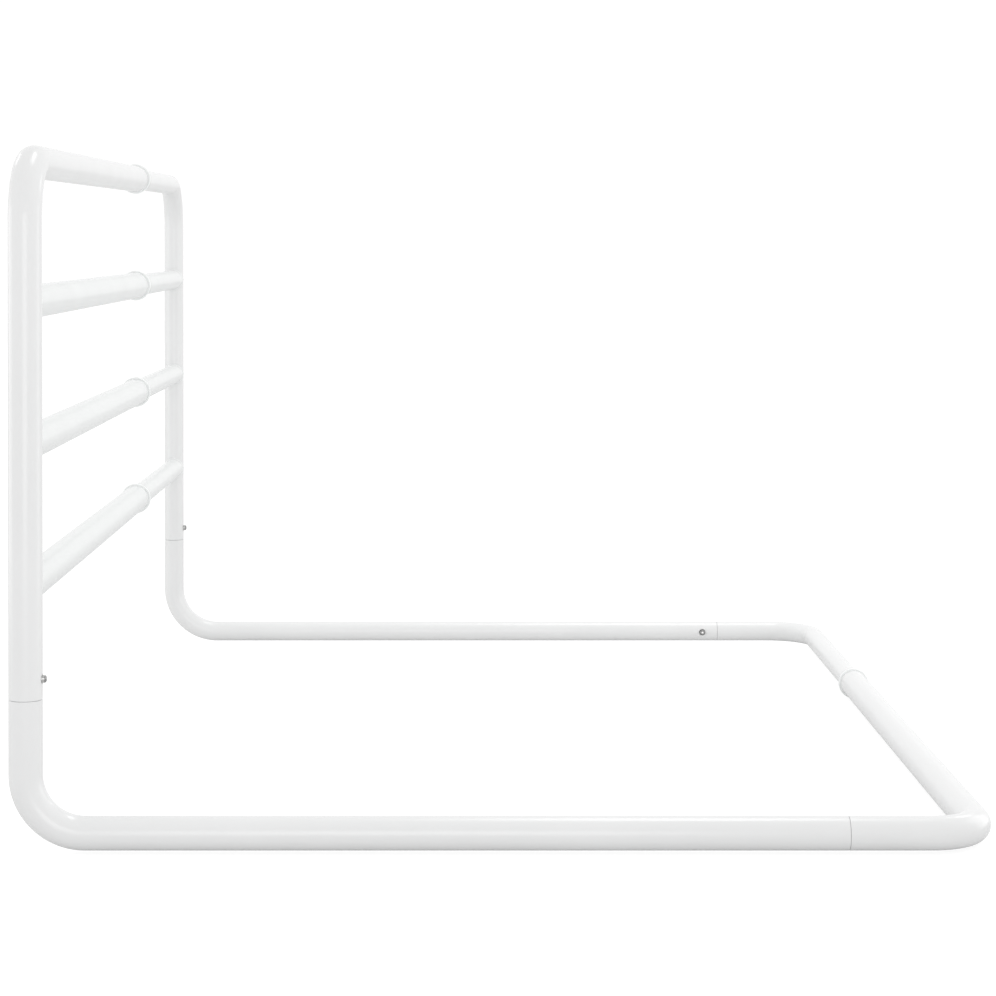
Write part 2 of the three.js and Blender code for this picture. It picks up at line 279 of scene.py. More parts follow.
def turned_nickel():
    finish = Finish(bpy.data.materials.new("button_nickel"))
    along = finish.add("ShaderNodeSeparateXYZ", {}, finish.coordinates("UV"), output="Y")
    rings = finish.add("ShaderNodeMath", {"operation": "SINE"}, along * RING_WAVES)
    stain = finish.noise(finish.coordinates("Object"), STAIN_SIZE, detail=2)
    step = "ShaderNodeMapRange", {"interpolation_type": "SMOOTHSTEP"}, along
    past_painted_highlight, past_painted_shade = finish.add(*step, *PAINTED_HIGHLIGHT_EDGE), finish.add(*step, *PAINTED_SHADE_EDGE)
    # The dark shoulder is a painted shade and dark reflection, and the bright crown below is a painted
    # highlight; only the stain's spread of tone is the metal's own.
    painted_dark_shoulder = finish.mix(stain, rgba(0.26, 0.26, 0.26), rgba(0.40, 0.40, 0.395))
    side = finish.mix(past_painted_shade, painted_dark_shoulder, rgba(0.56, 0.56, 0.555))
    return finish.shaded(
        Base_Color=finish.mix(past_painted_highlight, rgba(0.86, 0.86, 0.85), side),
        Metallic=1.0, Roughness=0.08 + 0.06 * stain + 0.08 * past_painted_highlight,
        Normal=finish.bump(strength=0.15, distance=RING_HEIGHT, height=rings),
    )


button_nickel = turned_nickel()
print("steel of the buttons:", button_nickel.name)

# %% [markdown]
# ## Spring strip
#
# The springs are cut from rolled strip, so their scratches run along it. The noise reads the strip's own UV
# map and is stretched lengthways: many lumps across the strip, and few along it.

# %% Spring steel
ACROSS_STRIP, ALONG_STRIP = 60.0, 40.0
SCRATCH_DEPTH = 0.00002


def rolled_strip():
    finish = Finish(bpy.data.materials.new("spring_strip"))
    stretch = (ACROSS_STRIP, ALONG_STRIP, 1.0)
    stretched = finish.add("ShaderNodeMapping", {}, finish.coordinates("UV"), Scale=stretch)
    scratches = finish.noise(stretched, 1.0, detail=4)
    return finish.shaded(
        Base_Color=finish.mix(scratches, rgba(0.34, 0.345, 0.35), rgba(0.48, 0.485, 0.49)),
        Metallic=1.0, Roughness=0.25 + 0.2 * scratches,
        Normal=finish.bump(strength=0.3, distance=SCRATCH_DEPTH, height=scratches),
    )


spring_strip = rolled_strip()
print("steel of the springs:", spring_strip.name)

# %% [markdown]
# ## Centrelines
#
# Every tube here is straight, bent once through a right angle, and straight again. So its centreline has a
# closed formula in the distance s along it, and any number of points can be asked of it at once. The bend
# lies in a plane, whose normal is the same all along the tube. It serves as one side of the frame that
# carries the round section, so the section never twists.
#
# Smooth shading turns the light at a ring by the average of the faces that meet there. On a long straight
# face that error would run on to its other end, so wherever a bend or a rounded edge begins, a ring stands
# just before it and keeps the straight part straight.

# %% A run of tube
SUPPORT, NO_BEND = 0.02, 1000.0


class Run:
    """Centreline that starts at a point, goes a distance in one direction and may bend into a second.

    With f = (s - s1) / bend, held between 0 and a right angle, the centre is
    start + first * (min(s, s1) + bend * sin f) + second * (bend * (1 - cos f) + max(s - s2, 0)),
    where the bend begins at s1 and ends at s2. The tangent is first * cos f + second * sin f.
    `before` and `after` are the legs up to the corner that the bend rounds off. A run without them is
    straight, as its bend lies a kilometre away.
    """

    def __init__(self, start, first, second, before=NO_BEND, after=0.0, bend=1.0):
        self.start, self.first, self.second = (np.array(v, float) for v in (start, first, second))
        self.bend = bend
        self.bend_start = before - bend
        self.bend_end = self.bend_start + bend * np.pi / 2
        self.length = self.bend_end + after - bend
        self.side = np.cross(self.first, self.second)

    def turned(self, s):
        """How far the bend has turned at s, as a column."""
        return np.clip((s - self.bend_start) / self.bend, 0, np.pi / 2)[..., None]

    def centre(self, s):
        s = np.asarray(s, float)
        f = self.turned(s)
        ahead = np.minimum(s, self.bend_start)[..., None] + self.bend * np.sin(f)
        aside = self.bend * (1 - np.cos(f)) + np.maximum(s - self.bend_end, 0)[..., None]
        return self.start + self.first * ahead + self.second * aside

    def normal(self, s):
        """Side x tangent: it lies in the plane of the bend and points to its inner side."""
        f = self.turned(s)
        return np.cross(self.side, self.first * np.cos(f) + self.second * np.sin(f))

    def point(self, s, angle, radius):
        """centre(s) + radius * (cos angle * normal + sin angle * side)"""
        away = np.cos(angle)[..., None] * self.normal(s) + np.sin(angle)[..., None] * self.side
        return self.centre(s) + np.asarray(radius)[..., None] * away

    def angle_towards(self, s, direction):
        """The angle round the tube at s that faces a direction."""
        direction = np.array(direction, float)
        return float(np.arctan2(direction @ self.side, direction @ self.normal(np.array(s))))

    def stations(self, steps=32):
        """Where rings are needed so that the bend is smooth, and one just before and after it."""
        turn = np.concatenate([[-SUPPORT], np.linspace(0, np.pi / 2, steps + 1), [np.pi / 2 + SUPPORT]])
        return self.bend_start + self.bend * turn


sample = Run((0, 0, 0), (0, 0, 1), (1, 0, 0), before=0.1, after=0.1, bend=0.04)
print("two legs of 100 mm round a bend of 40 mm:", round(1000 * sample.length, 1), "mm of tube")

# %% [markdown]
# ## Outlines
#
# The wall of a tube, cut lengthways, is a long thin closed outline of distance along and radius. Nothing
# made of steel or plastic ends in a knife edge, so each corner of the outline is rounded by an arc that
# touches both of its edges. Rings are then added where the tube bends or is pierced.

# %% Rounded outlines
SUPPORT_SHARE = 0.1


def rounded(corners, radii, steps=4, closed=True):
    """Corners replaced by arcs.

    An arc of radius r in a corner that turns by t touches both edges at setback = r * tan(t / 2) from it.
    Its points are corner - into * setback + r * (sin a * into + (1 - cos a) * across), a from 0 to t.
    A supporting point stands before it and one behind it, a tenth of the setback away.
    """
    corners = [np.array(c, float) for c in corners]
    points = []
    for i, corner in enumerate(corners):
        if radii[i] == 0 or (not closed and i in (0, len(corners) - 1)):
            points.append(corner[None])
            continue
        into = corner - corners[i - 1]
        away = corners[(i + 1) % len(corners)] - corner
        into, away = into / np.linalg.norm(into), away / np.linalg.norm(away)
        turn = np.arccos(np.clip(into @ away, -1, 1))
        across = (away - into * np.cos(turn)) / np.sin(turn)
        a = np.linspace(0, turn, steps + 1)[:, None]
        setback = radii[i] * np.tan(turn / 2)
        arc = corner - into * setback + radii[i] * (np.sin(a) * into + (1 - np.cos(a)) * across)
        ahead = SUPPORT_SHARE * setback
        points += [arc[:1] - into * ahead, arc, arc[-1:] + away * ahead]
    points = np.concatenate(points)
    return np.concatenate([points, points[:1]]) if closed else points


sample = rounded([(0, 0), (1, 0), (1, 1), (0, 1)], [0.1] * 4)
print("a square with rounded corners:", len(sample), "points")

# %% Rings where they are wanted
NEAR_END = 0.001


def with_rings(outline, stations):
    """Extra points where the outline's edges pass the given distances along.

    A distance lies on an edge at share = (distance - s0) / (s1 - s0) of its length. Both s and r are taken
    there, unless the share is so near 0 or 1 that the edge's own end serves.
    """
    s, r = outline.T
    edge = np.arange(len(s) - 1)
    with np.errstate(divide="ignore", invalid="ignore"):
        share = (np.asarray(stations)[:, None] - s[:-1]) / (s[1:] - s[:-1])
    inside = (share > NEAR_END) & (share < 1 - NEAR_END)
    rows = np.sort(np.concatenate([np.arange(len(s)), (edge + share)[inside]]))
    return np.stack([np.interp(rows, np.arange(len(s)), v) for v in (s, r)], axis=1)


print("with a ring more on its two level edges:", len(with_rings(sample, [0.5])), "points")

# %% [markdown]
# ## From grids to a piece
#
# A surface is a grid of points, and its faces join neighbours in it. Where a grid closes on itself its last
# column repeats the first, and where it ends in a pole a whole row is one point. Merging what coincides
# closes both. Each grid also gives its UV map: the share of the way round, and metres along.

# %% Faces of a grid
def quads(points, keep=None):
    """Corner indices and UVs of the cells of a grid, but for the cells that `keep` leaves out."""
    rows, columns = points.shape[:2]
    index = np.arange(rows * columns).reshape(rows, columns)
    corners = np.stack([index[:-1, :-1], index[1:, :-1], index[1:, 1:], index[:-1, 1:]], axis=-1)
    step = np.linalg.norm(np.diff(points, axis=0), axis=-1).mean(axis=1)
    along = np.concatenate([[0], np.cumsum(step)])
    u, v = np.meshgrid(np.linspace(0, 1, columns), along)
    uv = np.stack([u, v], axis=-1).reshape(-1, 2)
    keep = np.ones((rows - 1, columns - 1), bool) if keep is None else keep
    faces = corners[keep]
    return faces, uv[faces]


print("a grid of 4 by 6 points:", len(quads(np.zeros((4, 6, 3)))[0]), "faces")

# %% [markdown]
# ## One piece
#
# The mesh gets its points, faces and UV map as whole arrays. Its object stays at the origin, because its
# place is in its points. It rides on a body of the frame, which moves it in every pose, and stands for one
# of the solids.

# %% Building a piece
MERGE_DISTANCE = 2e-6


def make_piece(name, grids, material, node, body, follows=None):
    """A mesh of all the grids, its coincident points merged, in its solid's place and riding on its body,
    unless it `follows`.

    `follows` is for a piece that bends between two bodies: such a piece rides on no body, and the second body
    and the two points given with it are not used.
    """
    points, faces, uvs, first = [], [], [], 0
    for grid in grids:
        surface, keep = grid if isinstance(grid, tuple) else (grid, None)
        cells, uv = quads(surface, keep)
        points.append(surface.reshape(-1, 3))
        faces.append(cells + first)
        uvs.append(uv)
        first += surface.shape[0] * surface.shape[1]
    faces, uvs = np.concatenate(faces), np.concatenate(uvs)
    mesh = bpy.data.meshes.new(name)
    mesh.from_pydata(np.concatenate(points), [], faces)
    layer = mesh.uv_layers.new(name="wrap")
    layer.data.foreach_set("uv", uvs.reshape(-1).astype(np.float32))
    tidy = bmesh.new()
    tidy.from_mesh(mesh)
    bmesh.ops.remove_doubles(tidy, verts=tidy.verts, dist=MERGE_DISTANCE)
    bmesh.ops.recalc_face_normals(tidy, faces=tidy.faces)
    open_edges = sum(not edge.is_manifold for edge in tidy.edges)
    tidy.to_mesh(mesh)
    tidy.free()
    mesh.shade_smooth()
    mesh.materials.append(material)
    piece = bpy.data.objects.new(name, mesh)
    bpy.context.scene.collection.objects.link(piece)
    if follows:
        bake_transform(piece)
    else:
        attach(piece, body)
    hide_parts(node)
    if open_edges:
        print("  open edges on", name, open_edges)
    return piece


# %% [markdown]
# ## Pierced tube
#
# A button needs a round hole in a wall that is a square grid. The grid is made finer round the hole, the
# cells in a small square are left out, and the points around are drawn towards the circle, fully at the
# square's edge and not at all a little further out. The same is done to the inner wall, and a rounded rim
# joins the two. No boolean is needed, and the shading stays clean because every point is still on the tube.
#
# First come the grid's columns. A hole is given by its place along and round the tube and its radius, and
# the two radii of the tube's skins there.

# %% A grid that is finer at the holes
ROUND = 64
HOLE_CELLS, HOLE_COLLAR = 8, 4
SQUARE_SHARE, COLLAR_SHARE = 0.8, 1.9
COLUMN_GAP = 0.04


def wrapped(angle):
    """The same angle, within half a turn of zero."""
    return (angle + np.pi) % (2 * np.pi) - np.pi


def hole_lines(radius):
    """Distances from the hole's middle that want grid lines: across the square, then out to its collar."""
    inner = np.linspace(0, SQUARE_SHARE * radius, HOLE_CELLS // 2 + 1)
    outer = np.linspace(SQUARE_SHARE * radius, COLLAR_SHARE * radius, HOLE_COLLAR + 1)[1:]
    positive = np.concatenate([inner, outer])
    return np.concatenate([-positive[:0:-1], positive])


def columns_round(holes):
    """Angles of the grid's columns: even, but for the fine ones at each hole."""
    angles = np.linspace(0, 2 * np.pi, ROUND, endpoint=False)
    for _, hole_angle, radius, outer, _ in holes:
        fine = hole_lines(radius) / outer
        even = angles[np.abs(wrapped(angles - hole_angle)) > fine[-1] + COLUMN_GAP]
        angles = np.concatenate([even, hole_angle + fine])
    angles = np.sort(angles % (2 * np.pi))
    return np.append(angles, angles[0] + 2 * np.pi)


sample_hole = (0.0, 0.0, 0.004, 0.0133, 0.0123)
print("columns round a tube:", len(columns_round([])), "or with a hole", len(columns_round([sample_hole])))

# %% [markdown]
# ## From square to circle
#
# A point near a hole keeps its direction from the hole's middle and changes only its distance. The middles
# of the square's sides move out and its corners move in, and the collar round it takes up the difference.

# %% Drawing the grid to a circle
ROUNDING, NOT_ZERO = 1e-9, 1e-12


def draw_to_circle(s, angle, hole):
    """Points round a hole move along their ray from its middle.

    With d the larger of the two distances from the middle, a point at d = square lands on the circle, and
    further out the target radius * d / square counts for less, until at the collar it counts for nothing.
    """
    hole_s, hole_angle, radius, outer, _ = hole
    a, b = s - hole_s, wrapped(angle - hole_angle) * outer
    d = np.maximum(np.abs(a), np.abs(b))
    square, collar = SQUARE_SHARE * radius, COLLAR_SHARE * radius
    share = np.clip((collar - d) / (collar - square), 0, 1) * (d > square - ROUNDING)
    scale = share * (radius * d / square / (np.hypot(a, b) + NOT_ZERO) - 1)
    return s + a * scale, angle + b * scale / outer, d < square + ROUNDING


line = hole_lines(sample_hole[2])
moved, _, _ = draw_to_circle(line, np.zeros(len(line)), sample_hole)
print("furthest that a point beside a hole moves:", round(1000 * np.abs(moved - line).max(), 2), "mm")

# %% [markdown]
# ## The wall of the hole, and the whole tube
#
# The rim starts on the very points that the grid left on the circle, so merging joins them. The tube is its
# outline carried along its run, with these holes in it.

# %% Rims and tubes
RIM_EDGE, RIM_STEPS = 0.0002, 4


def rim(run, hole):
    """The hole's own wall: from the outer skin round a small edge, straight in, and round again inside.

    At depth x below the skin the wall is a circle of the hole's radius, less edge * sin t where the edge
    turns in, and x is edge * (1 - cos t) there, t from 0 to a right angle.
    """
    hole_s, hole_angle, radius, outer, inner = hole
    line = hole_lines(radius)[HOLE_COLLAR:-HOLE_COLLAR]
    side = np.full(HOLE_CELLS, line[-1])
    a = np.concatenate([line[:-1], side, -line[:-1], -side, line[:1]])
    b = np.concatenate([-side, line[:-1], side, -line[:-1], -side[:1]])
    turn = np.linspace(0, np.pi / 2, RIM_STEPS)
    inset = RIM_EDGE * np.sin(np.concatenate([turn, turn[::-1]]))
    sunk = RIM_EDGE * (1 - np.cos(turn))
    depth = np.concatenate([sunk, outer - inner - sunk[::-1]])[:, None]
    share = (radius - inset)[:, None] / np.hypot(a, b)
    return run.point(hole_s + share * a, hole_angle + share * b / outer, outer - depth + 0 * a)


def skin_radius(outline, s):
    """Outer and inner radius at a distance along: the outline runs forward outside and back inside."""
    turn = int(outline[:, 0].argmax())
    out, back = outline[:turn + 1], outline[:turn:-1]
    return np.interp(s, out[:, 0], out[:, 1]), np.interp(s, back[:, 0], back[:, 1])


def carried(run, outline, holes=()):
    """The outline carried round the run, with its holes: one grid for its skins and one for each rim."""
    holes = [(s, angle, radius, *skin_radius(outline, s)) for s, angle, radius in holes]
    wanted = [run.stations()] + [hole[0] + hole_lines(hole[2]) for hole in holes]
    rows = with_rings(outline, np.concatenate(wanted))
    s, angle = np.meshgrid(rows[:, 0], columns_round(holes), indexing="ij")
    radius = rows[:, 1:] + 0 * angle
    keep = np.ones((s.shape[0] - 1, s.shape[1] - 1), bool)
    for hole in holes:
        s, angle, gone = draw_to_circle(s, angle, hole)
        keep &= ~(gone[:-1, :-1] & gone[1:, :-1] & gone[1:, 1:] & gone[:-1, 1:])
    return [(run.point(s, angle, radius), keep)] + [rim(run, hole) for hole in holes]


# %% [markdown]
# ## Outlines of the bent tubes
#
# A guard tube is plain at both ends. A base tube and a rear tube each begin with a spigot: the end is
# pressed through a die until it fits inside its neighbour, so its outline steps in at the seam, and its
# first millimetres are tapered to lead it in. The step and the neighbour's edge are rounded, which is why a
# seam shows as a fine dark line.

# %% Plain and spigot ends
EDGE = 0.0003


def plain_outline(length, radius):
    corners = [(0, radius), (length, radius), (length, radius - WALL), (0, radius - WALL)]
    return rounded(corners, [EDGE] * 4)


def spigot_outline(length, radius):
    painted_dark_shoulder = SPIGOT_LENGTH + RUNNING_GAP
    bore, spigot = radius - WALL, radius - WALL - RUNNING_GAP
    neck = SPIGOT_LENGTH + NECK
    corners = [(0, spigot - WALL / 2), (SPIGOT_LEAD, spigot), (painted_dark_shoulder, spigot), (painted_dark_shoulder, radius),
               (length, radius), (length, bore), (neck + WALL, bore), (neck - WALL, spigot - WALL),
               (0, spigot - WALL)]
    return rounded(corners, [EDGE / 2, 4 * EDGE, 0, EDGE, EDGE, EDGE, 2 * EDGE, 2 * EDGE, EDGE / 2])


print("points of a plain outline", len(plain_outline(1, 0.013)), "and of one with a spigot",
      len(spigot_outline(1, 0.013)))

# %% [markdown]
# ## The bent tubes
#
# Each half has three. The guard tube is the post, the top bend and the top rail in one. The base tube plugs
# into the post's foot, bends and goes under the mattress. The rear tube plugs into its end, turns the elbow
# and is half of the rear bar. A button's place is measured from its seam, in the spigot as in its host.

# %% Guard, base and rear tubes
BUTTON_RADIUS, HOST_HOLE, SPIGOT_HOLE = 0.003, 0.00395, 0.0035
X, Z = np.array([1.0, 0, 0]), np.array([0, 0, 1.0])


def pierced(run, s, direction, hole_radius):
    """A hole: its place along the run, its angle round it, and its radius."""
    return s, run.angle_towards(s, direction), hole_radius


def bent_tubes(half):
    """The kind, run, outline and holes of a half's three tubes."""
    y, inward, radius, seam = half["y"], np.array([0, half["inward"], 0.0]), half["radius"], half["seam"]
    before = seam + SPIGOT_LENGTH
    run = Run((GUARD_X, y, AXIS_Z + seam), Z, inward, TOP_Z - AXIS_Z - seam, half["reach"],
              half["post_bend"])
    yield "guard_tube", run, plain_outline(run.length, radius), [
        pierced(run, half["post_button"], X, HOST_HOLE)]

    run = Run((GUARD_X, y, AXIS_Z + before), -Z, X, before, REAR_X - GUARD_X - seam, half["post_bend"])
    yield "base_tube", run, spigot_outline(run.length, radius), [
        pierced(run, SPIGOT_LENGTH - half["post_button"], X, SPIGOT_HOLE),
        pierced(run, run.length - half["base_button"], inward, HOST_HOLE)]

    run = Run((REAR_X - before, y, AXIS_Z), X, inward, before, half["reach"], half["elbow_bend"])
    yield "rear_tube", run, spigot_outline(run.length, radius), [
        pierced(run, SPIGOT_LENGTH - half["base_button"], inward, SPIGOT_HOLE)]


for name, half in HALVES.items():
    for kind, run, outline, holes in bent_tubes(half):
        grids = carried(run, outline, holes)
        make_piece(f"bent_{kind}_{name}", grids, coats[name], f"{name}_{kind}", f"{name}_half")
        print(name, kind, round(1000 * run.length), "mm along its centreline,", len(holes), "holes")

# %% [markdown]
# ## The straight rails
#
# A rail's end is cut to the round of the post, a saddle, and a bead of weld runs round it. At the top and
# bottom the bead fills a corner. At the sides, where rail and post are equally thick, the two surfaces run
# into each other and the bead only stands proud. Each strip of the bead is a curve with three control
# points: its toe on the post, its crown above the saddle and its toe on the rail. The crown rises and falls
# a little as the torch went round, and the coat softens it.

# %% The bead's toe on the post
BEAD_LEG, BEAD_END = 0.0014, 1.2
BEAD_CROWN, RIPPLE, RIPPLE_COUNT = 0.55, 0.07, 36
RAIL_ROUND = 180


def bead_toe(run, radius, angle):
    """Where the bead ends on the post.

    With the post's surface unrolled, the saddle is the curve of radius * arcsin(sin angle) round the post
    and radius * cos angle up it. The toe runs beside that curve, a leg away, and is rolled up again a
    hair's gap inside the post's radius.
    """
    curve = radius * np.stack([np.arcsin(np.clip(np.sin(angle), -1, 1)), np.cos(angle)])
    ahead = np.gradient(curve, axis=1)
    ahead[:, [0, -1]] = ahead[:, 1:2]
    beside = np.stack([-ahead[1], ahead[0]]) / np.hypot(*ahead)
    round_post, up = curve + BEAD_LEG * beside
    sunk = radius - RUNNING_GAP
    return (run.start + run.side * (sunk * np.sin(round_post / radius))[:, None]
            + run.first * (sunk * np.cos(round_post / radius))[:, None] + run.second * up[:, None])


print("bead legs", 1000 * BEAD_LEG, "mm, crown point", round(1000 * BEAD_LEG * BEAD_CROWN, 2), "mm out")

# %% [markdown]
# ## A rail with its bead
#
# The rows of the rail's grid start at the bead's toe on the post, go over the bead to the rail, out along
# the outer skin, round the cut end, back along the bore, and across the root to the toe again.

# %% Coped and welded rails
def blended(first, crown, last, steps=8):
    """(1 - t)^2 first + 2 t (1 - t) crown + t^2 last, a row of points for each t"""
    t = np.linspace(0, 1, steps + 1)[:, None, None]
    return (1 - t) ** 2 * first + 2 * t * (1 - t) * crown + t ** 2 * last


def coped_rail(run, radius, length):
    """Rail whose root fits a post of the same radius, as rows of points.

    The saddle lies at s = radius * cos(arcsin(sin angle)) along the rail. The crown stands outwards from it,
    along the sum of the rail's normal and the post's, by leg * (crown + ripple * sin(count * angle)). The
    root of the bore lies at s = sqrt((radius - gap)^2 - (bore * sin angle)^2).
    """
    angle = np.linspace(0, 2 * np.pi, RAIL_ROUND + 1)
    up, side = np.cos(angle)[:, None], np.sin(angle)[:, None]
    skin, bore = np.full_like(angle, radius), np.full_like(angle, radius - WALL)
    on_post = bead_toe(run, radius, angle)
    leaving = np.cos(np.arcsin(np.clip(np.sin(angle), -1, 1)))
    saddle_s = radius * leaving
    saddle = run.point(saddle_s, angle, skin)
    on_rail = run.point(saddle_s + BEAD_LEG, angle, skin)
    beyond = run.point(saddle_s + BEAD_END * BEAD_LEG, angle, skin)
    outward = (run.second * up + run.side * side) + (run.side * side + run.first * leaving[:, None])
    outward /= np.linalg.norm(outward, axis=1, keepdims=True)
    crown = saddle + outward * (BEAD_LEG * (BEAD_CROWN + RIPPLE * np.sin(RIPPLE_COUNT * angle)))[:, None]
    clear, inner = 2 * radius, radius - WALL
    tail = rounded([(clear, radius), (length, radius), (length, inner), (clear, inner)],
                   [0, EDGE, EDGE, 0], closed=False)
    skins = run.point(tail[:, :1] + 0 * angle, 0 * tail[:, :1] + angle, tail[:, 1:] + 0 * angle)
    root = run.point(np.sqrt((radius - RUNNING_GAP) ** 2 - (bore * np.sin(angle)) ** 2), angle, bore)
    return np.concatenate([blended(on_post, crown, on_rail), beyond[None], skins, root[None], on_post[None]])


for name, half in HALVES.items():
    for level, height in RAIL_Z.items():
        run = Run((GUARD_X, half["y"], height), (0, half["inward"], 0), Z)
        grid = coped_rail(run, half["radius"], half["reach"])
        make_piece(f"straight_{half['rail']}_{level}", [grid], coats["rail"], f"{half['rail']}_{level}",
                   f"{name}_half")
print("rails:", 2 * len(RAIL_Z), "each with a bead of", RIPPLE_COUNT, "ripples")

# %% [markdown]
# ## Bushes and glides
#
# A slim tube in a stout one needs two bearings, well apart, or it would rock. The front one is a flanged
# bush pressed into the sleeve's mouth, whose lip caps the cut steel. The rear one is pushed on the slider's
# tail and travels with it, out of sight. Both are turned shapes: a rounded outline carried round a line.
# The second list of each outline gives the rounding of its corners, in the same order.

# %% Outlines of bush and glide
BUSH_LENGTH, LIP, LIP_THICKNESS = 0.035, 0.00215, 0.004
SKIRT, GLIDE_END, SHANK, SHANK_WALL = 0.030, 0.003, 0.014, 0.0016
SHARP, CRISP, SOFT = 0.0001, 0.0002, 0.0005
LIP_BACK, LIP_FRONT, NOSE = 0.0011, 0.0014, 0.0006
SLIDER = HALVES["far"]["radius"]
SLEEVE = HALVES["near"]["radius"]
bore, body_radius = SLIDER + RUNNING_GAP, SLEEVE - WALL - RUNNING_GAP
lip_end = RUNNING_GAP + LIP_THICKNESS
bush = rounded(
    [(-BUSH_LENGTH, body_radius), (RUNNING_GAP, body_radius), (RUNNING_GAP, SLEEVE + LIP),
     (lip_end, SLEEVE + LIP), (lip_end, bore), (-BUSH_LENGTH, bore)],
    [CRISP, SHARP, LIP_BACK, LIP_FRONT, SOFT, CRISP], steps=6)
shank = SLIDER - WALL - RUNNING_GAP
ring = -RUNNING_GAP
glide = rounded(
    [(ring - GLIDE_END, body_radius), (SKIRT, body_radius), (SKIRT, bore), (ring, bore), (ring, shank),
     (SHANK, shank), (SHANK, shank - SHANK_WALL), (ring - GLIDE_END, shank - SHANK_WALL)],
    [NOSE, CRISP, CRISP, SHARP, SHARP, SOFT, SOFT, SOFT], steps=5)
print("bush lip", round(2000 * (SLEEVE + LIP), 1), "mm across")

# %% Bushes and glides
mouth_y = HALVES["near"]["y"] + HALVES["near"]["reach"]
tail_y = HALVES["far"]["y"] - HALVES["far"]["reach"]
sliding_places = {"top": (GUARD_X, TOP_Z), **{level: (GUARD_X, z) for level, z in RAIL_Z.items()},
                  "rear": (REAR_X, AXIS_Z)}
for place, (x, z) in sliding_places.items():
    make_piece(f"moulded_bush_{place}", carried(Run((x, mouth_y, z), (0, 1, 0), Z), bush), bush_plastic,
               f"collar_{place}", "near_half")
    make_piece(f"moulded_glide_{place}", carried(Run((x, tail_y, z), (0, 1, 0), Z), glide), glide_plastic,
               f"glide_{place}", "far_half")
print("bushes and glides:", len(sliding_places), "of each")

# %% [markdown]
# ## Buttons and springs
#
# A button stands out of its tube by a few millimetres, and a V of spring steel inside holds it there. Its
# flange is wider than the spigot's hole, so it can't leave. The button is a turned shape that starts and
# ends on its own axis.

# %% Outline of a snap button
PROUD, DOME, FLANGE, FLANGE_THICKNESS = 0.0035, 0.0019, 0.0042, 0.001
DOME_RINGS = 16


def button_outline(radius, bottom):
    """A quarter ellipse, r = shank * cos t and s = foot + dome * sin t, then the shank and the flange."""
    foot = radius + PROUD - DOME
    flange = rounded(
        [(bottom, 0), (bottom, FLANGE), (bottom + FLANGE_THICKNESS, FLANGE),
         (bottom + FLANGE_THICKNESS, BUTTON_RADIUS), (foot, BUTTON_RADIUS)],
        [0, CRISP, CRISP, SHARP, 0], closed=False)
    t = np.linspace(0, np.pi / 2, DOME_RINGS + 1)[1:]
    dome = np.stack([foot + DOME * np.sin(t), BUTTON_RADIUS * np.cos(t)], axis=1)
    return np.concatenate([flange, dome])[::-1]


print("a button stands", 1000 * PROUD, "mm proud; points of its outline:", len(button_outline(0.013, 0.005)))

# %% [markdown]
# ## The V spring
#
# The spring is a thin rounded strip carried along a path with four bends, two round its tip and one in each
# leg. When the button is pressed, the leg behind it has to give way, while the tip and the other leg stay.
# The tip, a line from it to the tail of the other leg, and the point under the button are worked out for
# that, but the strip is not made to bend between tube and button: it stays where it is, on no body.

# %% Spring strip
STRIP_WIDTH, STRIP_THICKNESS, STRIP_ROUND = 0.007, 0.0006, 0.9
TAIL, STRAIGHT, REACH, TIP_HALF, TIP_BEND, LEG_BEND = 0.009, 0.008, 0.034, 0.0028, 0.002, 0.006


def strip(path, across):
    """A thin rounded section carried along the path: centre + w * across + h * (across x tangent)."""
    w, h = STRIP_WIDTH / 2, STRIP_THICKNESS / 2
    section = rounded([(-w, -h), (w, -h), (w, h), (-w, h)], [STRIP_ROUND * h] * 4, steps=3)
    tangent = np.gradient(path, axis=0)
    tangent /= np.linalg.norm(tangent, axis=1, keepdims=True)
    normal = np.cross(across, tangent)
    rows = path[:, None] + section[:, :1] * across + section[:, 1:] * normal[:, None]
    ends = np.repeat(path[[0, -1], None], len(section), axis=1)
    return np.concatenate([ends[:1], rows, ends[1:]])


def spring_path(pressed, leaning):
    """The V in its own plane: distance towards the button, and distance along the tube."""
    corners = [(pressed, -TAIL), (pressed, STRAIGHT), (TIP_HALF, REACH), (-TIP_HALF, REACH),
               (-leaning, STRAIGHT), (-leaning, -TAIL)]
    return rounded(corners, [0, LEG_BEND, TIP_BEND, TIP_BEND, LEG_BEND, 0], steps=10, closed=False)


print("a spring is", round(1000 * (REACH + TAIL)), "mm long and", 1000 * STRIP_WIDTH, "mm wide")

# %% [markdown]
# ## Into the tubes
#
# Both legs are as far apart as the spigot's bore lets them be: one lies under the button's flange, the other
# leans on the wall across from it. Each tube has its own bore, so both distances are worked out for each
# half, and then button and spring are set at the two seams of that half.

